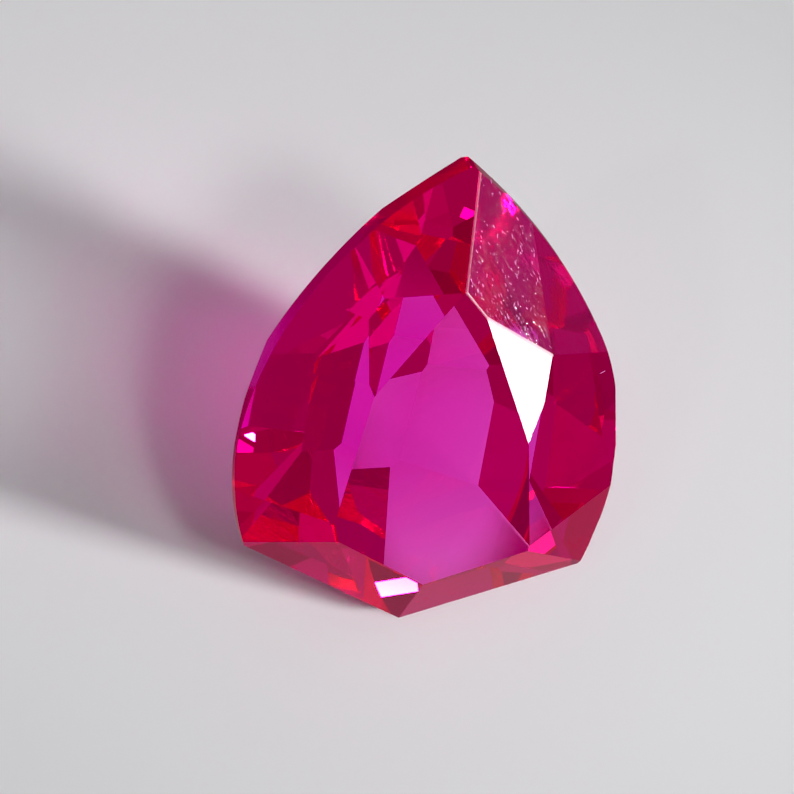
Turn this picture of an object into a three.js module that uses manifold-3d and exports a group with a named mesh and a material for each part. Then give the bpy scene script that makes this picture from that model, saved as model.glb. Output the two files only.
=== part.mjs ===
// A loose faceted pink sapphire with a shield outline: one cut stone, lying on a broad facet of its underside.
// Millimetres, +Z up. The stone is cut in its own frame, with the table facing +Z, the pointed apex towards +Y
// and the upper edge of the girdle at Z = 0. The cut stone is then laid down on its resting facet.

import * as THREE from "three";
import { mergeVertices } from "three/addons/utils/BufferGeometryUtils.js";
import Module from "manifold-3d";

// Girdle outline, anticlockwise from the right corner. Each point is where a side ends, and bow is how far
// that side bulges out from the straight line between its ends.
const START_CORNER = [5.47, -5.97];
const SIDES = [
  { to: [6.05, -2.4], bow: 0.2 },
  { to: [4.75, 2.2], bow: 0.37 },
  { to: [0, 7.12], bow: 0.36 },
  { to: [-3.06, 4.57], bow: 0.14 },
  { to: [-6.09, -2.77], bow: 0.66 },
  { to: [-5.42, -6.03], bow: 0.18 },
  { to: [-0.12, -8.12], bow: 0 },
  { to: START_CORNER, bow: 0 },
];
const STEPS_PER_SIDE = 10;

// Heights of the rough blank above and below the upper edge of the girdle.
const BLANK_TOP = 2.6;
const BLANK_BOTTOM = -7;

// Facet chart. Azimuth runs from +X towards the apex, angle is the facet's lean from the girdle plane, and
// depth is the distance from the centre of the upper girdle plane to the facet, square to it.
const CROWN_FACETS = [
  { name: "table", azimuth: 0, angle: 0, depth: 1.91 },
  { name: "right apex kite", azimuth: 42, angle: 35, depth: 2.95 },
  { name: "left apex kite", azimuth: 130, angle: 35, depth: 3.2 },
  { name: "right star", azimuth: 26, angle: 22, depth: 2.465 },
  { name: "left star", azimuth: 146.5, angle: 24, depth: 2.595 },
  { name: "right shoulder", azimuth: 38, angle: 39, depth: 3.12 },
  { name: "left shoulder", azimuth: 148, angle: 37, depth: 3.16 },
  { name: "right upper side", azimuth: 15, angle: 32, depth: 2.87 },
  { name: "left upper side", azimuth: 162, angle: 35, depth: 2.96 },
  { name: "right lower side", azimuth: 9.5, angle: 31.5, depth: 2.885 },
  { name: "left lower side", azimuth: 171.5, angle: 33.5, depth: 2.95 },
  { name: "right base", azimuth: -67, angle: 46, depth: 5.39 },
  { name: "left base", azimuth: -114, angle: 44.5, depth: 5.3 },
  { name: "right corner", azimuth: -13, angle: 37.5, depth: 4.05 },
  { name: "left corner", azimuth: -160, angle: 35.5, depth: 4.11 },
];
const PAVILION_FACETS = [
  { name: "right apex wall", azimuth: 49.5, angle: 49, depth: 4.65 },
  { name: "right side wall", azimuth: 10, angle: 57, depth: 4.78 },
  { name: "left apex wall", azimuth: 130, angle: 62, depth: 5.34 },
  { name: "left side wall", azimuth: 169.5, angle: 60, depth: 5.25 },
  { name: "right base wall", azimuth: -63, angle: 56.5, depth: 6.72 },
  { name: "left base wall", azimuth: -105.5, angle: 57, depth: 6.93 },
  { name: "right apex tier", azimuth: 33.5, angle: 44, depth: 4.4 },
  { name: "left apex tier", azimuth: 145.5, angle: 45, depth: 4.16 },
  { name: "right side tier", azimuth: 2, angle: 45, depth: 4.57 },
  { name: "left side tier", azimuth: 184, angle: 44, depth: 4.78 },
  { name: "right corner tier", azimuth: -12, angle: 44, depth: 4.75 },
  { name: "right base rest", azimuth: -72, angle: 44, depth: 5.8 },
  { name: "left base tier", azimuth: -110.5, angle: 44, depth: 6.1 },
  { name: "right apex keel", azimuth: 30, angle: 25.5, depth: 4.83 },
  { name: "left apex keel", azimuth: 152, angle: 27, depth: 4.75 },
  { name: "right base keel", azimuth: -22, angle: 25, depth: 4.93 },
  { name: "left base keel", azimuth: 192, angle: 21, depth: 5.11 },
];
const RESTING_FACET = "right base rest";

// The lap that grinds a facet is a block larger than the blank.
const LAP_SIZE = 40;

// Turn of the stone about the vertical once it lies on its resting facet, in degrees.
const TURN_ON_SURFACE = -3.5;

const PINK = 0xd21a86;

const wasm = await Module();
wasm.setup();

function toSolid(geometry) {
  const bare = geometry.index ? geometry.toNonIndexed() : geometry.clone();
  bare.deleteAttribute("normal");
  bare.deleteAttribute("uv");
  const merged = mergeVertices(bare);
  const mesh = new wasm.Mesh({
    numProp: 3,
    vertProperties: new Float32Array(merged.attributes.position.array),
    triVerts: new Uint32Array(merged.index.array),
  });
  return new wasm.Manifold(mesh);
}

function toGeometry(solid) {
  const mesh = solid.getMesh();
  const geometry = new THREE.BufferGeometry();
  geometry.setAttribute("position", new THREE.BufferAttribute(new Float32Array(mesh.vertProperties), 3));
  geometry.setIndex(new THREE.BufferAttribute(new Uint32Array(mesh.triVerts), 1));
  return geometry;
}

// Adds one side of the outline to the shape: a straight edge, or an arc through the bow's high point.
function addSide(shape, from, to, bow) {
  if (bow === 0) {
    shape.lineTo(to[0], to[1]);
    return;
  }
  const halfChord = Math.hypot(to[0] - from[0], to[1] - from[1]) / 2;
  const radius = (halfChord ** 2 + bow ** 2) / (2 * bow);
  const inward = new THREE.Vector2(from[1] - to[1], to[0] - from[0]).setLength(radius - bow);
  const centreX = (from[0] + to[0]) / 2 + inward.x;
  const centreY = (from[1] + to[1]) / 2 + inward.y;
  const startAngle = Math.atan2(from[1] - centreY, from[0] - centreX);
  const endAngle = Math.atan2(to[1] - centreY, to[0] - centreX);
  shape.absarc(centreX, centreY, radius, startAngle, endAngle, false);
}

function makeBlank() {
  const shape = new THREE.Shape();
  shape.moveTo(START_CORNER[0], START_CORNER[1]);
  let from = START_CORNER;
  for (const side of SIDES) {
    addSide(shape, from, side.to, side.bow);
    from = side.to;
  }
  const blank = new THREE.ExtrudeGeometry(shape, {
    depth: BLANK_TOP - BLANK_BOTTOM,
    bevelEnabled: false,
    curveSegments: STEPS_PER_SIDE,
  });
  return blank.translate(0, 0, BLANK_BOTTOM);
}

// Outward normal of a facet. upward is 1 on the crown and -1 on the pavilion.
function facetNormal(facet, upward) {
  const azimuth = THREE.MathUtils.degToRad(facet.azimuth);
  const angle = THREE.MathUtils.degToRad(facet.angle);
  return new THREE.Vector3(
    Math.cos(azimuth) * Math.sin(angle),
    Math.sin(azimuth) * Math.sin(angle),
    upward * Math.cos(angle),
  );
}

// The block that grinds one facet: its lower face lies in the facet's plane.
function makeLap(facet, upward) {
  const normal = facetNormal(facet, upward);
  const lap = new THREE.BoxGeometry(LAP_SIZE, LAP_SIZE, LAP_SIZE);
  lap.translate(0, 0, LAP_SIZE / 2 + facet.depth);
  const lean = new THREE.Quaternion().setFromUnitVectors(new THREE.Vector3(0, 0, 1), normal);
  return lap.applyQuaternion(lean);
}

function cutStone() {
  let stone = toSolid(makeBlank());
  for (const facet of CROWN_FACETS) {
    stone = stone.subtract(toSolid(makeLap(facet, 1)));
  }
  for (const facet of PAVILION_FACETS) {
    stone = stone.subtract(toSolid(makeLap(facet, -1)));
  }
  return toGeometry(stone);
}

// Lays the cut stone on its resting facet, with the origin on the surface below the middle of its box.
function layDown(geometry) {
  const resting = PAVILION_FACETS.find((facet) => facet.name === RESTING_FACET);
  const down = new THREE.Vector3(0, 0, -1);
  const lie = new THREE.Quaternion().setFromUnitVectors(facetNormal(resting, -1), down);
  geometry.applyQuaternion(lie);
  geometry.rotateZ(THREE.MathUtils.degToRad(TURN_ON_SURFACE));
  geometry.computeBoundingBox();
  const middle = geometry.boundingBox.getCenter(new THREE.Vector3());
  return geometry.translate(-middle.x, -middle.y, -geometry.boundingBox.min.z);
}

const sapphire = new THREE.Mesh(
  layDown(cutStone()),
  new THREE.MeshStandardMaterial({ color: PINK, roughness: 0.05, metalness: 0 }),
);
sapphire.name = "sapphire";

const group = new THREE.Group();
group.add(sapphire);

export default group;
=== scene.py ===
import math
import random

import bpy
from mathutils import Matrix, Quaternion, Vector


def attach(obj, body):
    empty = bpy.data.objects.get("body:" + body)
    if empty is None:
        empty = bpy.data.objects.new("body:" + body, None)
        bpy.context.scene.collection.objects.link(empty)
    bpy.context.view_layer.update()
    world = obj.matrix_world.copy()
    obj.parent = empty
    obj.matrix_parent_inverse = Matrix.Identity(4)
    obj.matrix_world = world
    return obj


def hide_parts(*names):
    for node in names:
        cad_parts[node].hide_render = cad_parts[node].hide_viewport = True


bl_info = {
    "name": "Pink sapphire",
    "version": (1, 0, 0),
    "blender": (4, 5, 0),
    "location": "View3D > Sidebar > Sapphire",
    "description": "Dresses a loose faceted pink sapphire and sets its studio",
    "category": "Object",
}

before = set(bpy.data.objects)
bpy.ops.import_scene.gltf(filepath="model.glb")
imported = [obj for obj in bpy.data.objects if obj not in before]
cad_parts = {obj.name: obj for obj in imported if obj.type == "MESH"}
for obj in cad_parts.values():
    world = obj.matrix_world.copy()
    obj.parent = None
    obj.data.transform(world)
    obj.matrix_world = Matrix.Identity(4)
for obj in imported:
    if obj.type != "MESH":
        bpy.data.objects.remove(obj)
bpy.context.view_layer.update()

MM = 0.001
STONE_NODE = "sapphire"
STONE_PIECE = "sapphire_stone"
DUST_PIECE = "sapphire_dust"

# Direction out of the table, and towards the pointed apex along the table, in the stone's lying pose.
TABLE_UP = Vector((0.174, -0.673, 0.719))
APEX_WAY = Vector((0.128, 0.740, 0.661))
RIGHT_WAY = APEX_WAY.cross(TABLE_UP)


def crown_direction(azimuth, angle):
    """Outward direction of a crown facet from its place in the facet chart, in degrees."""
    lean = math.sin(math.radians(angle))
    return (
        RIGHT_WAY * math.cos(math.radians(azimuth)) * lean
        + APEX_WAY * math.sin(math.radians(azimuth)) * lean
        + TABLE_UP * math.cos(math.radians(angle))
    ).normalized()


KITE_OUT = crown_direction(42, 35)
SHOULDER_OUT = crown_direction(38, 39)
UPPER_SIDE_OUT = crown_direction(15, 32)

# Cosines that tell facets and their edges apart.
SAME_FACET = math.cos(math.radians(1.0))
SHARP_EDGE = math.cos(math.radians(0.8))
GIRDLE_LEAN = 0.02
RIDGE_LEAN = 0.01

# Cleaning of the solid's mesh: stray points, flat triangles and the shortest steps along the girdle.
STRAY_POINT_GAP = 0.002 * MM
FLAT_ANGLE = math.radians(0.5)
SHORT_STEP = 0.06 * MM
EDGE_WEAR_SEGMENTS = 2
RIDGE_WEAR_SEGMENTS = 3

# Scuff of the shoulder beside the kite, which also sets its share of the painted violet-pink glow. The kite
# itself has 1.
SHOULDER_SCUFF_AND_GLOW = 0.4

# Roughness that each kind of wear adds where it is full.
SCUFF_HAZE = 0.085
SCRATCH_HAZE = 0.1
GIRDLE_HAZE = 0.08
RIDGE_HAZE = 0.45

# Painted glow of the crystal, a constant emission that no lamp drives: red in place of its fluorescence, and
# violet-pink on full scuffs in place of the light that they scatter.
PAINTED_RED_GLOW = (1.0, 0.0, 0.24)
PAINTED_SCUFF_GLOW = (1.0, 0.1, 1.0)
PAINTED_GLOW_STRENGTH = 0.046

# Fine scratches: turn about Z in radians, then noise over millimetres, and the noise that shows as a mark.
SCRATCH_TURN = (0.0, 0.0, -0.64)
SCRATCH_NOISE = {"stretch": (14.0, 2.0, 2.0), "scale": 1.0, "detail": 3.0}
SCRATCH_CUT = (0.55, 0.72)
PIT_NOISE = {"stretch": (1.0, 1.0, 1.0), "scale": 9.0, "detail": 2.0}
PIT_CUT = (0.60, 0.75)
SWELL_NOISE = {"stretch": (3.0, 1.0, 1.0), "scale": 1.2, "detail": 3.0}
SCRATCH_HEIGHT = 0.1
RELIEF = 0.02 * MM

# Flecks on the kite: the way they run, how far a fleck turns from it, and sizes as shares of a usual fleck.
SCRATCH_WAY = Vector((0.6, -0.8, 0.0))
FLECK_TURN = 0.35
FLECK_LENGTHS = (0.3, 1.5)
FLECK_WIDTHS = (0.1, 0.25)
FLECK_THICKNESS = 0.4
DUST_ROUGHNESS = 0.9

# A single scratch on the right upper side: its middle, its way and its size as shares of a usual fleck.
LONE_SCRATCH = Vector((5.54, 0.60, 5.30)) * MM
LONE_SCRATCH_WAY = Vector((0.26, 0.19, -0.14))
LONE_SCRATCH_LENGTH = 2.5
LONE_SCRATCH_WIDTH = 0.2

# Floor, and the oval pool of painted light below the stone, an emission over a darkened floor colour: full
# within POOL_FULL of its radii, gone at its rim.
FLOOR_SIZE = 2.0
FLOOR_GAP = 0.02 * MM
FLOOR_ROUGHNESS = 0.9
FLOOR_SHINE = 0.1
POOL_MIDDLE = (0.0, 0.1 * MM)
POOL_RADII = (3.3 * MM, 6.0 * MM)
POOL_FULL = 0.45
# Darkened floor colour inside the painted pool, so that the emission alone lights the floor there.
PAINTED_POOL_FLOOR_COLOUR = (0.1, 0.1, 0.1)
BLACK = (0.0, 0.0, 0.0)

# Parts of the room that are dimmer or brighter than the rest: azimuth, elevation, angles at which the part
# is full and gone, all in degrees, and its share of the room light.
ROOM_PARTS = (
    (-142.0, 48.0, 28.4, 49.5, 0.333),
    (-54.0, 29.0, 11.0, 21.0, 0.72),
    (-33.0, 17.0, 6.0, 12.0, 0.75),
    (-72.0, 54.0, 7.0, 15.0, 1.6),
    (-79.0, 31.0, 6.0, 13.0, 1.2),
    (-49.0, 9.0, 4.0, 9.0, 1.4),
    (21.0, 54.0, 6.0, 14.0, 1.3),
    (-13.0, 41.0, 6.0, 14.0, 1.6),
)

# Light from below the horizon: heights of a ray at which it is steep and level, the light there, and the
# part that the stone shades, in the same form as the parts of the room.
STEEP_RAY = -0.7
LEVEL_RAY = -0.1
STEEP_LIGHT = 0.31
LEVEL_LIGHT = 0.08
SHADED_PART = (120.0, 0.0, 54.0, 84.0, 0.2)

# Point that the lamps face, and the softboxes round it: azimuth and elevation in degrees, distance and width
# in mm, spread in degrees. The power of each is the stage setting of the same name.
STONE_MIDDLE = Vector((1, 0, 7)) * MM
FULL_SPREAD = 180
SOFTBOXES = {
    "window": (-26.6, 12.2, 350, 30, FULL_SPREAD),
    "key": (-18, 17, 250, 46, 24),
    "high": (-37, 53.5, 250, 50, 24),
}

# Small lamps that show as single glints or soft patches: azimuth, elevation, width and height in mm, power.
GLINT_DISTANCE = 350
GLINTS = (
    (-147.2, 49.5, 4.5, 1.5, 32e-3),
    (-42.1, 45.2, 1.2, 1.3, 1.6e-5),
    (-46.7, 34.9, 1.6, 2.4, 3e-5),
    (162.6, 69.2, 1.3, 1.6, 8e-3),
    (162.8, 69.8, 2.0, 3.0, 4e-5),
    (-20.0, 31.0, 18.0, 18.0, 1.4e-3),
    (-160.0, 60.0, 60.0, 60.0, 2.8e-3),
)

# The narrow lamp at the end of the shadow, in the same form as the softboxes, and the spot it lights.
FAR_LEFT = Vector((-18, 4, 0)) * MM
FAR_LEFT_LAMP = (180, 60, 150, 3, 5.6)

# Bounces of light that deep inner reflections need.
INNER_BOUNCES = 32
FLOOR_BOUNCES = 4

SENSOR_WIDTH = 36.0
NEAREST_SIGHT = 10 * MM
FARTHEST_SIGHT = 5.0

# Places of the colour sockets on a Mix node.
COLOUR_A = 6
COLOUR_B = 7
COLOUR_RESULT = 2


class StoneSettings(bpy.types.PropertyGroup):
    """Edges and crystal of the stone."""

    edge_wear: bpy.props.FloatProperty(
        name="Edge wear",
        description="Width of the rounding on every facet edge",
        default=0.012 * MM,
        unit="LENGTH",
        precision=6,
    )
    ridge_wear: bpy.props.FloatProperty(
        name="Ridge wear",
        description="Width of the rounding on the worn ridge beside the apex kite",
        default=0.05 * MM,
        unit="LENGTH",
        precision=6,
    )
    ior: bpy.props.FloatProperty(
        name="IOR", description="Refractive index of corundum", default=1.77
    )
    tint: bpy.props.FloatVectorProperty(
        name="Tint",
        description="Colour that the crystal lets through",
        subtype="COLOR",
        size=3,
        min=0,
        max=1,
        default=(0.965, 0.0, 0.7625),
    )
    tint_density: bpy.props.FloatProperty(
        name="Tint density",
        description="Absorption per metre of crystal",
        default=400.0,
    )


class DustSettings(bpy.types.PropertyGroup):
    """Flecks lying on the scuffed kite facet."""

    flecks: bpy.props.IntProperty(
        name="Flecks", description="Number of dust flecks on the kite", default=160
    )
    fleck_size: bpy.props.FloatProperty(
        name="Fleck size",
        description="Length of a usual fleck",
        default=0.12 * MM,
        unit="LENGTH",
        precision=6,
    )
    colour: bpy.props.FloatVectorProperty(
        name="Dust colour",
        description="Colour of the dust",
        subtype="COLOR",
        size=3,
        min=0,
        max=1,
        default=(0.62, 0.28, 0.58),
    )
    seed: bpy.props.IntProperty(name="Seed", description="Fleck layout", default=7)


class StageSettings(bpy.types.PropertyGroup):
    """Floor, lights and camera."""

    floor_colour: bpy.props.FloatVectorProperty(
        name="Floor colour",
        description="Colour of the pale floor",
        subtype="COLOR",
        size=3,
        min=0,
        max=1,
        default=(0.78, 0.78, 0.80),
    )
    # Colour of the painted pool of light, an emission on the floor below the stone.
    painted_pool_colour: bpy.props.FloatVectorProperty(
        name="Pool colour",
        description="Colour of the light that gathers below the stone",
        subtype="COLOR",
        size=3,
        min=0,
        max=1,
        default=(0.80, 0.66, 0.98),
    )
    sky: bpy.props.FloatProperty(
        name="Room light", description="Strength of the soft light all round", default=0.24
    )
    # Strength of the painted pool of light: an emission, not light that a lamp sends there.
    painted_pool_light: bpy.props.FloatProperty(
        name="Pool of light",
        description="Light that gathers on the floor below the stone",
        default=0.75,
    )
    window: bpy.props.FloatProperty(
        name="Window light",
        description="Power of the bright softbox low at the right",
        default=0.06,
        unit="POWER",
    )
    key: bpy.props.FloatProperty(
        name="Key light",
        description="Power of the low softbox at the right that casts the shadow",
        default=0.0215,
        unit="POWER",
    )
    high: bpy.props.FloatProperty(
        name="High light",
        description="Power of the softbox high in front of the right",
        default=0.003,
        unit="POWER",
    )
    far_left: bpy.props.FloatProperty(
        name="Far left light",
        description="Power of the narrow lamp that lightens the end of the shadow",
        default=9e-5,
        unit="POWER",
        precision=6,
    )
    black_level: bpy.props.FloatProperty(
        name="Black level",
        description="Light that the picture shows as black",
        default=0.02,
    )
    aim: bpy.props.FloatVectorProperty(
        name="Aim",
        description="Point that the camera looks at",
        subtype="TRANSLATION",
        size=3,
        unit="LENGTH",
        default=(-0.89 * MM, 0.21 * MM, 4.0 * MM),
    )
    distance: bpy.props.FloatProperty(
        name="Distance",
        description="From the aim to the camera",
        default=151.7 * MM,
        unit="LENGTH",
    )
    azimuth: bpy.props.FloatProperty(
        name="Azimuth",
        description="Turn of the camera round the stone",
        default=math.radians(-3.46),
        subtype="ANGLE",
    )
    elevation: bpy.props.FloatProperty(
        name="Elevation",
        description="Height of the camera above the horizon",
        default=math.radians(68.86),
        subtype="ANGLE",
    )
    roll: bpy.props.FloatProperty(
        name="Roll",
        description="Turn of the camera about its own axis",
        default=math.radians(3.72),
        subtype="ANGLE",
    )
    lens: bpy.props.FloatProperty(
        name="Lens", description="Focal length on a 36 mm sensor", default=217.6
    )


def deselect_everything():
    bpy.ops.object.select_all(action="DESELECT")


def start_editing():
    bpy.ops.object.mode_set(mode="EDIT")


def stop_editing():
    bpy.ops.object.mode_set(mode="OBJECT")


def edit_only(piece):
    """Opens one piece in edit mode with nothing else selected."""
    deselect_everything()
    piece.select_set(True)
    bpy.context.view_layer.objects.active = piece
    start_editing()


def select_edges(piece, wanted):
    """Selects the edges of a piece in edit mode for which wanted(normals of its faces) is true."""
    bpy.ops.mesh.select_all(action="DESELECT")
    stop_editing()
    mesh = piece.data
    normals = {}
    for face in mesh.polygons:
        for key in face.edge_keys:
            normals.setdefault(key, []).append(face.normal.copy())
    for edge in mesh.edges:
        edge.select = wanted(normals.get(edge.key, []))
    start_editing()
    bpy.ops.mesh.select_mode(type="EDGE")


def lies_along(normal, facing):
    return normal.dot(facing) > SAME_FACET


def lay_along(way, out):
    """Turn that lays a flat thing on a facet facing out, with its length along way."""
    across = out.cross(way).normalized()
    along = across.cross(out)
    return Matrix((along, across, out)).transposed().to_quaternion()


def is_girdle(normal):
    return abs(normal.dot(TABLE_UP)) < GIRDLE_LEAN


def is_sharp(normals):
    """A facet edge, but not one of the fine steps along the girdle."""
    if len(normals) != 2:
        return False
    if is_girdle(normals[0]) and is_girdle(normals[1]):
        return False
    return normals[0].dot(normals[1]) < SHARP_EDGE


def is_ridge(normals):
    """An edge of the scuffed kite on the side away from the girdle."""
    if not is_sharp(normals) or not any(lies_along(n, KITE_OUT) for n in normals):
        return False
    return min(n.dot(RIGHT_WAY) for n in normals) < KITE_OUT.dot(RIGHT_WAY) - RIDGE_LEAN


def is_sharp_and_plain(normals):
    """A facet edge away from the worn ridge."""
    return is_sharp(normals) and not is_ridge(normals)


def add_math(tree, operation, *values):
    """A Math node in a node tree. Each value is a socket or a number."""
    node = tree.nodes.new("ShaderNodeMath")
    node.operation = operation
    for socket, value in zip(node.inputs, values):
        if isinstance(value, bpy.types.NodeSocket):
            tree.links.new(value, socket)
        else:
            socket.default_value = value
    return node.outputs["Value"]


def add_range(tree, value, start, end, to_start=0.0, to_end=1.0, kind="LINEAR"):
    """Maps a value between start and end to one between to_start and to_end."""
    node = tree.nodes.new("ShaderNodeMapRange")
    node.interpolation_type = kind
    node.inputs["From Min"].default_value = start
    node.inputs["From Max"].default_value = end
    node.inputs["To Min"].default_value = to_start
    node.inputs["To Max"].default_value = to_end
    tree.links.new(value, node.inputs["Value"])
    return node.outputs["Result"]


def add_noise(tree, vector, stretch, scale, detail):
    """Noise over stretched coordinates."""
    stretched = tree.nodes.new("ShaderNodeMapping")
    stretched.inputs["Scale"].default_value = stretch
    tree.links.new(vector, stretched.inputs["Vector"])
    noise = tree.nodes.new("ShaderNodeTexNoise")
    noise.inputs["Scale"].default_value = scale
    noise.inputs["Detail"].default_value = detail
    tree.links.new(stretched.outputs["Vector"], noise.inputs["Vector"])
    return noise.outputs["Fac"]


def add_attribute(tree, name):
    node = tree.nodes.new("ShaderNodeAttribute")
    node.attribute_name = name
    return node.outputs["Fac"]


def add_colour_mix(tree, mask, outside, inside):
    """Mixes two colours by a mask."""
    mix = tree.nodes.new("ShaderNodeMix")
    mix.data_type = "RGBA"
    mix.inputs[COLOUR_A].default_value = (*outside, 1.0)
    mix.inputs[COLOUR_B].default_value = (*inside, 1.0)
    tree.links.new(mask, mix.inputs["Factor"])
    return mix.outputs[COLOUR_RESULT]


def add_group_socket(group, name, way, kind, value=None):
    socket = group.interface.new_socket(name=name, in_out=way, socket_type=kind)
    if value is not None:
        socket.default_value = value


def make_scratch_group():
    """Fine straight scratches and pits, as a mask and a height over Object coordinates."""
    group = bpy.data.node_groups.new("fine_scratches", "ShaderNodeTree")
    add_group_socket(group, "Turn", "INPUT", "NodeSocketVector", SCRATCH_TURN)
    add_group_socket(group, "Amount", "INPUT", "NodeSocketFloat", 1.0)
    add_group_socket(group, "Scratches", "OUTPUT", "NodeSocketFloat")
    add_group_socket(group, "Height", "OUTPUT", "NodeSocketFloat")
    inside = group.nodes.new("NodeGroupInput")
    outside = group.nodes.new("NodeGroupOutput")
    amount = inside.outputs["Amount"]
    coords = group.nodes.new("ShaderNodeTexCoord")
    turned = group.nodes.new("ShaderNodeMapping")
    turned.inputs["Scale"].default_value = (1 / MM, 1 / MM, 1 / MM)
    group.links.new(coords.outputs["Object"], turned.inputs["Vector"])
    group.links.new(inside.outputs["Turn"], turned.inputs["Rotation"])
    place = turned.outputs["Vector"]
    lines = add_range(group, add_noise(group, place, **SCRATCH_NOISE), *SCRATCH_CUT)
    pits = add_range(group, add_noise(group, place, **PIT_NOISE), *PIT_CUT)
    marks = add_math(group, "MULTIPLY", add_math(group, "MAXIMUM", lines, pits), amount)
    swells = add_math(group, "MULTIPLY", add_noise(group, place, **SWELL_NOISE), amount)
    height = add_math(group, "MULTIPLY_ADD", marks, SCRATCH_HEIGHT, swells)
    group.links.new(marks, outside.inputs["Scratches"])
    group.links.new(height, outside.inputs["Height"])
    return group


def make_crystal(settings):
    """Clear pink corundum: polished, scuffed on two facets, and rougher on the girdle and the worn ridge."""
    material = bpy.data.materials.new("pink_crystal")
    material.use_nodes = True
    tree = material.node_tree
    tree.nodes.clear()
    output = tree.nodes.new("ShaderNodeOutputMaterial")
    surface = tree.nodes.new("ShaderNodeBsdfPrincipled")
    surface.inputs["Base Color"].default_value = (1.0, 1.0, 1.0, 1.0)
    surface.inputs["Metallic"].default_value = 0.0
    surface.inputs["Transmission Weight"].default_value = 1.0
    surface.inputs["IOR"].default_value = settings.ior
    # Strength of the painted glow, the same whatever the lamps.
    surface.inputs["Emission Strength"].default_value = PAINTED_GLOW_STRENGTH
    tree.links.new(surface.outputs["BSDF"], output.inputs["Surface"])
    tint = tree.nodes.new("ShaderNodeVolumeAbsorption")
    tint.inputs["Color"].default_value = (*settings.tint, 1.0)
    tint.inputs["Density"].default_value = settings.tint_density
    tree.links.new(tint.outputs["Volume"], output.inputs["Volume"])

    scuff = add_attribute(tree, "scuff")
    # Painted glow: red emission on clear facets, turning violet-pink on the scuffed ones.
    painted_glow = add_colour_mix(tree, scuff, PAINTED_RED_GLOW, PAINTED_SCUFF_GLOW)
    tree.links.new(painted_glow, surface.inputs["Emission Color"])

    scratches = tree.nodes.new("ShaderNodeGroup")
    scratches.node_tree = make_scratch_group()
    tree.links.new(scuff, scratches.inputs["Amount"])
    haze = add_math(tree, "MULTIPLY", scuff, SCUFF_HAZE)
    for wear, share in (
        (scratches.outputs["Scratches"], SCRATCH_HAZE),
        (add_attribute(tree, "frost"), GIRDLE_HAZE),
        (add_attribute(tree, "ridge"), RIDGE_HAZE),
    ):
        haze = add_math(tree, "MULTIPLY_ADD", wear, share, haze)
    tree.links.new(haze, surface.inputs["Roughness"])

    bump = tree.nodes.new("ShaderNodeBump")
    bump.inputs["Strength"].default_value = 1.0
    bump.inputs["Distance"].default_value = RELIEF
    tree.links.new(scratches.outputs["Height"], bump.inputs["Height"])
    tree.links.new(bump.outputs["Normal"], surface.inputs["Normal"])
    return material


def make_dust_material(colour):
    material = bpy.data.materials.new("pale_dust")
    material.use_nodes = True
    surface = material.node_tree.nodes["Principled BSDF"]
    surface.inputs["Base Color"].default_value = (*colour, 1.0)
    surface.inputs["Roughness"].default_value = DUST_ROUGHNESS
    return material


class SAPPHIRE_OT_cut_stone(bpy.types.Operator):
    """Makes the faceted stone with worn edges, scuffed facets and a frosted girdle"""

    bl_idname = "sapphire.cut_stone"
    bl_label = "Cut stone"

    def execute(self, context):
        settings = context.scene.sapphire_stone
        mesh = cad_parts[STONE_NODE].data.copy()
        mesh.name = STONE_PIECE
        mesh.materials.clear()
        stone = bpy.data.objects.new(STONE_PIECE, mesh)
        context.scene.collection.objects.link(stone)
        edit_only(stone)
        self.join_facets()
        self.wear(stone, is_ridge, settings.ridge_wear, RIDGE_WEAR_SEGMENTS)
        self.mark_ridge(mesh)
        self.wear(stone, is_sharp_and_plain, settings.edge_wear, EDGE_WEAR_SEGMENTS)
        stop_editing()
        self.mark_wear(mesh)
        mesh.materials.append(make_crystal(settings))
        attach(stone, "root")
        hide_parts(STONE_NODE)
        return {"FINISHED"}

    def join_facets(self):
        """Turns the triangles of each facet into one face."""
        bpy.ops.mesh.select_all(action="SELECT")
        bpy.ops.mesh.remove_doubles(threshold=STRAY_POINT_GAP)
        bpy.ops.mesh.dissolve_limited(angle_limit=FLAT_ANGLE)
        bpy.ops.mesh.select_all(action="SELECT")
        bpy.ops.mesh.remove_doubles(threshold=SHORT_STEP)

    def wear(self, stone, wanted, width, segments):
        """Rounds the edges that are wanted."""
        select_edges(stone, wanted)
        bpy.ops.mesh.bevel(
            offset=width, segments=segments, affect="EDGES", clamp_overlap=True
        )

    def mark_ridge(self, mesh):
        """Marks the faces that the ridge's rounding has just made."""
        stop_editing()
        ridge = mesh.attributes.new("ridge", "FLOAT", "FACE")
        for face in mesh.polygons:
            worn = face.select and not lies_along(face.normal, KITE_OUT)
            ridge.data[face.index].value = float(worn)
        start_editing()

    def mark_wear(self, mesh):
        """Marks the scuffed facets and the girdle, and shades the girdle smoothly."""
        scuff = mesh.attributes.new("scuff", "FLOAT", "FACE")
        frost = mesh.attributes.new("frost", "FLOAT", "FACE")
        for face in mesh.polygons:
            girdle = is_girdle(face.normal)
            face.use_smooth = girdle
            # Scuffed facets also take the painted violet-pink glow.
            if lies_along(face.normal, KITE_OUT):
                scuff.data[face.index].value = 1.0
            elif lies_along(face.normal, SHOULDER_OUT):
                scuff.data[face.index].value = SHOULDER_SCUFF_AND_GLOW
            frost.data[face.index].value = float(girdle)


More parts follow.
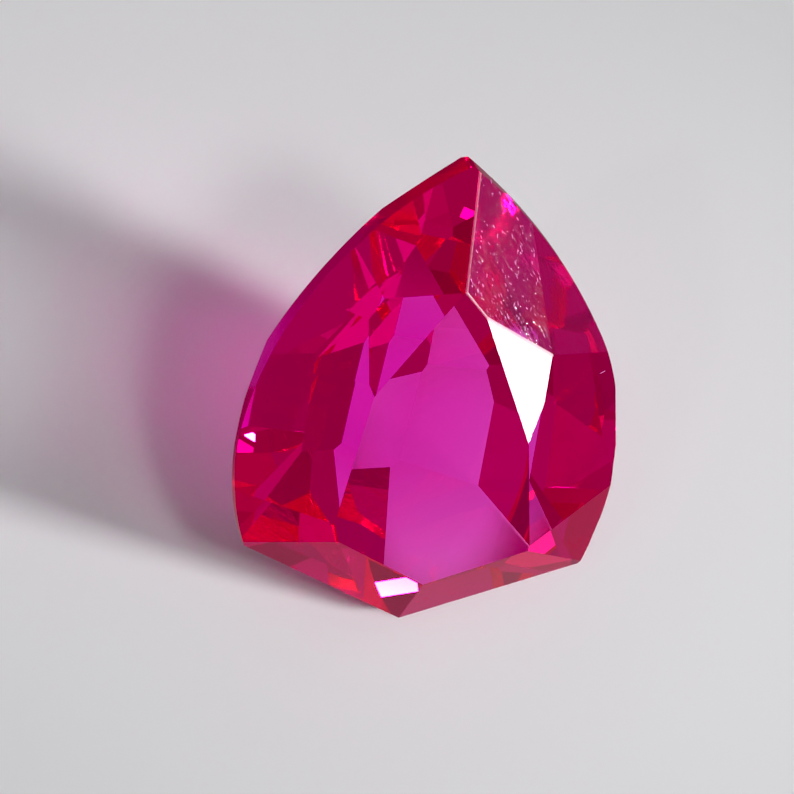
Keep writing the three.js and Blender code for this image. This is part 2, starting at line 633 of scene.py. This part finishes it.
class SAPPHIRE_OT_scatter_dust(bpy.types.Operator):
    """Lays slivers of dust and scratch on the scuffed kite, and one scratch on the right upper side"""

    bl_idname = "sapphire.scatter_dust"
    bl_label = "Scatter dust"

    def execute(self, context):
        settings = context.scene.sapphire_dust
        flecks = self.cover_kite(context, settings)
        flecks.append(
            self.add_fleck(
                context,
                LONE_SCRATCH,
                LONE_SCRATCH_WAY,
                UPPER_SIDE_OUT,
                settings.fleck_size * LONE_SCRATCH_LENGTH,
                settings.fleck_size * LONE_SCRATCH_WIDTH,
            )
        )
        deselect_everything()
        for fleck in flecks:
            fleck.select_set(True)
        context.view_layer.objects.active = flecks[0]
        bpy.ops.object.join()
        dust = context.active_object
        dust.name = DUST_PIECE
        dust.data.name = DUST_PIECE
        bpy.ops.object.transform_apply(location=True, rotation=True, scale=True)
        dust.data.materials.clear()
        dust.data.materials.append(make_dust_material(settings.colour))
        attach(dust, "root")
        return {"FINISHED"}

    def cover_kite(self, context, settings):
        """Strews flecks evenly over the kite, along the way its scratches run."""
        draw = random.Random(settings.seed)
        stone = bpy.data.objects[STONE_PIECE]
        kite = max(
            (f for f in stone.data.polygons if lies_along(f.normal, KITE_OUT)),
            key=lambda f: f.area,
        )
        first, *others = [stone.data.vertices[i].co.copy() for i in kite.vertices]
        slices = list(zip(others, others[1:]))
        areas = [(a - first).cross(b - first).length for a, b in slices]
        flecks = []
        for _ in range(settings.flecks):
            second, third = draw.choices(slices, areas)[0]
            out = math.sqrt(draw.random())
            place = first.lerp(second.lerp(third, draw.random()), out)
            way = Quaternion(KITE_OUT, draw.gauss(0, FLECK_TURN)) @ SCRATCH_WAY
            length = settings.fleck_size * draw.uniform(*FLECK_LENGTHS)
            width = settings.fleck_size * draw.uniform(*FLECK_WIDTHS)
            flecks.append(self.add_fleck(context, place, way, KITE_OUT, length, width))
        return flecks

    def add_fleck(self, context, place, way, out, length, width):
        """Adds one flat sliver on a facet facing out."""
        deselect_everything()
        bpy.ops.mesh.primitive_ico_sphere_add(subdivisions=1, radius=0.5, location=place)
        fleck = context.active_object
        fleck.rotation_mode = "QUATERNION"
        fleck.rotation_quaternion = lay_along(way, out)
        fleck.scale = (length, width, width * FLECK_THICKNESS)
        return fleck


def direction(azimuth, elevation):
    """Unit vector at an azimuth from +X towards +Y and a height above the floor, in degrees."""
    around = math.radians(azimuth)
    above = math.radians(elevation)
    return Vector(
        (
            math.cos(around) * math.cos(above),
            math.sin(around) * math.cos(above),
            math.sin(above),
        )
    )


def add_softbox(name, target, azimuth, elevation, distance, size, power, spread=FULL_SPREAD):
    """A lamp that faces a target. Angles are in degrees, distance and size in mm."""
    lamp = bpy.data.lights.new(name, "AREA")
    lamp.shape = "RECTANGLE"
    lamp.size = size[0] * MM
    lamp.size_y = size[1] * MM
    lamp.energy = power
    lamp.spread = math.radians(spread)
    box = bpy.data.objects.new(name, lamp)
    box.location = target + direction(azimuth, elevation) * (distance * MM)
    box.rotation_mode = "QUATERNION"
    box.rotation_quaternion = (target - box.location).to_track_quat("-Z", "Y")
    bpy.context.scene.collection.objects.link(box)


def add_room_part(tree, ray, azimuth, elevation, full, gone, share):
    """Factor on the light along a ray: share in one part of the room, 1 away from it."""
    facing = tree.nodes.new("ShaderNodeVectorMath")
    facing.operation = "DOT_PRODUCT"
    facing.inputs[1].default_value = direction(azimuth, elevation)
    tree.links.new(ray, facing.inputs[0])
    return add_range(
        tree,
        facing.outputs["Value"],
        math.cos(math.radians(gone)),
        math.cos(math.radians(full)),
        1.0,
        share,
        "SMOOTHSTEP",
    )


def make_room(settings):
    """Soft light all round, with dimmer and brighter parts, and weaker light from below."""
    room = bpy.data.worlds.new("room")
    room.use_nodes = True
    tree = room.node_tree
    sky = tree.nodes["Background"]
    sky.inputs["Color"].default_value = (1.0, 1.0, 1.0, 1.0)
    ray = tree.nodes.new("ShaderNodeTexCoord").outputs["Generated"]
    above = tree.nodes.new("ShaderNodeValue").outputs["Value"]
    above.default_value = settings.sky
    for part in ROOM_PARTS:
        above = add_math(tree, "MULTIPLY", above, add_room_part(tree, ray, *part))
    axes = tree.nodes.new("ShaderNodeSeparateXYZ")
    tree.links.new(ray, axes.inputs["Vector"])
    height = axes.outputs["Z"]
    below = add_range(
        tree, height, STEEP_RAY, LEVEL_RAY, STEEP_LIGHT, LEVEL_LIGHT, "SMOOTHSTEP"
    )
    shaded = add_room_part(tree, ray, *SHADED_PART)
    both = tree.nodes.new("ShaderNodeMix")
    tree.links.new(add_math(tree, "LESS_THAN", height, 0.0), both.inputs["Factor"])
    tree.links.new(above, both.inputs["A"])
    tree.links.new(add_math(tree, "MULTIPLY", below, shaded), both.inputs["B"])
    tree.links.new(both.outputs["Result"], sky.inputs["Strength"])
    return room


def add_painted_pool_mask(tree):
    """A mask over Object coordinates: 1 in the middle of the painted pool of light, 0 past its rim."""
    coords = tree.nodes.new("ShaderNodeTexCoord")
    oval = tree.nodes.new("ShaderNodeMapping")
    oval.vector_type = "TEXTURE"
    oval.inputs["Location"].default_value = (*POOL_MIDDLE, 0.0)
    oval.inputs["Scale"].default_value = (*POOL_RADII, 1.0)
    tree.links.new(coords.outputs["Object"], oval.inputs["Vector"])
    away = tree.nodes.new("ShaderNodeVectorMath")
    away.operation = "LENGTH"
    tree.links.new(oval.outputs["Vector"], away.inputs[0])
    return add_range(tree, away.outputs["Value"], POOL_FULL, 1.0, 1.0, 0.0, "SMOOTHSTEP")


def make_floor_material(settings):
    """A pale floor with a painted pool of light below the stone: an emission over a darkened floor colour.
    """
    material = bpy.data.materials.new("pale_floor")
    material.use_nodes = True
    tree = material.node_tree
    surface = tree.nodes["Principled BSDF"]
    surface.inputs["Roughness"].default_value = FLOOR_ROUGHNESS
    surface.inputs["Specular IOR Level"].default_value = FLOOR_SHINE
    surface.inputs["Emission Strength"].default_value = settings.painted_pool_light
    # Painted pool of light: inside the oval the floor colour darkens and the floor glows.
    pool = add_painted_pool_mask(tree)
    shaded = add_colour_mix(tree, pool, settings.floor_colour, PAINTED_POOL_FLOOR_COLOUR)
    tree.links.new(shaded, surface.inputs["Base Color"])
    glow = add_colour_mix(tree, pool, BLACK, settings.painted_pool_colour)
    tree.links.new(glow, surface.inputs["Emission Color"])
    return material


class SAPPHIRE_OT_set_stage(bpy.types.Operator):
    """Sets the pale floor, the soft lights and the camera"""

    bl_idname = "sapphire.set_stage"
    bl_label = "Set stage"

    def execute(self, context):
        settings = context.scene.sapphire_stage
        self.lay_floor(settings)
        self.light(context, settings)
        self.set_picture(context.scene, settings)
        self.place_camera(context, settings)
        return {"FINISHED"}

    def lay_floor(self, settings):
        deselect_everything()
        bpy.ops.mesh.primitive_plane_add(size=FLOOR_SIZE, location=(0, 0, 0))
        floor = bpy.context.active_object
        floor.name = "floor"
        floor.location.z = -FLOOR_GAP
        floor.data.materials.append(make_floor_material(settings))
        floor.visible_glossy = False

    def light(self, context, settings):
        context.scene.world = make_room(settings)
        for name, (azimuth, elevation, distance, width, spread) in SOFTBOXES.items():
            power = getattr(settings, name)
            size = (width, width)
            add_softbox(name, STONE_MIDDLE, azimuth, elevation, distance, size, power, spread)
        for azimuth, elevation, width, height, power in GLINTS:
            size = (width, height)
            add_softbox("glint", STONE_MIDDLE, azimuth, elevation, GLINT_DISTANCE, size, power)
        azimuth, elevation, distance, width, spread = FAR_LEFT_LAMP
        size = (width, width)
        power = settings.far_left
        add_softbox("far_left", FAR_LEFT, azimuth, elevation, distance, size, power, spread)

    def set_picture(self, scene, settings):
        """Sets the tones of the picture, and lets light bounce as deep inner reflections need."""
        scene.view_settings.view_transform = "Standard"
        scene.view_settings.use_curve_mapping = True
        tones = scene.view_settings.curve_mapping
        tones.black_level = (settings.black_level,) * 3
        tones.update()
        scene.cycles.max_bounces = INNER_BOUNCES
        scene.cycles.transmission_bounces = INNER_BOUNCES
        scene.cycles.glossy_bounces = INNER_BOUNCES
        scene.cycles.diffuse_bounces = FLOOR_BOUNCES
        scene.cycles.sample_clamp_indirect = 0.0
        scene.cycles.use_denoising = True

    def place_camera(self, context, settings):
        back = Vector(
            (
                math.sin(settings.azimuth) * math.cos(settings.elevation),
                -math.cos(settings.azimuth) * math.cos(settings.elevation),
                math.sin(settings.elevation),
            )
        )
        lens = bpy.data.cameras.new("camera")
        lens.sensor_width = SENSOR_WIDTH
        lens.lens = settings.lens
        lens.clip_start = NEAREST_SIGHT
        lens.clip_end = FARTHEST_SIGHT
        camera = bpy.data.objects.new("camera", lens)
        camera.location = Vector(settings.aim) + back * settings.distance
        camera.rotation_mode = "QUATERNION"
        level = (-back).to_track_quat("-Z", "Y")
        camera.rotation_quaternion = level @ Quaternion((0, 0, 1), settings.roll)
        context.scene.collection.objects.link(camera)
        context.scene.camera = camera


class SAPPHIRE_PT_workshop(bpy.types.Panel):
    """The steps that dress the stone"""

    bl_idname = "SAPPHIRE_PT_workshop"
    bl_label = "Pink sapphire"
    bl_space_type = "VIEW_3D"
    bl_region_type = "UI"
    bl_category = "Sapphire"

    def draw(self, context):
        for step in STEPS:
            self.layout.operator(step.bl_idname)


SETTINGS = {
    "sapphire_stone": StoneSettings,
    "sapphire_dust": DustSettings,
    "sapphire_stage": StageSettings,
}
STEPS = (SAPPHIRE_OT_cut_stone, SAPPHIRE_OT_scatter_dust, SAPPHIRE_OT_set_stage)


def register():
    for name, group in SETTINGS.items():
        bpy.utils.register_class(group)
        setattr(bpy.types.Scene, name, bpy.props.PointerProperty(type=group))
    for step in STEPS:
        bpy.utils.register_class(step)
    bpy.utils.register_class(SAPPHIRE_PT_workshop)


def unregister():
    bpy.utils.unregister_class(SAPPHIRE_PT_workshop)
    for step in reversed(STEPS):
        bpy.utils.unregister_class(step)
    for name, group in SETTINGS.items():
        delattr(bpy.types.Scene, name)
        bpy.utils.unregister_class(group)


def main():
    register()
    bpy.ops.sapphire.cut_stone()
    bpy.ops.sapphire.scatter_dust()
    bpy.ops.sapphire.set_stage()


if __name__ == "__main__":
    main()
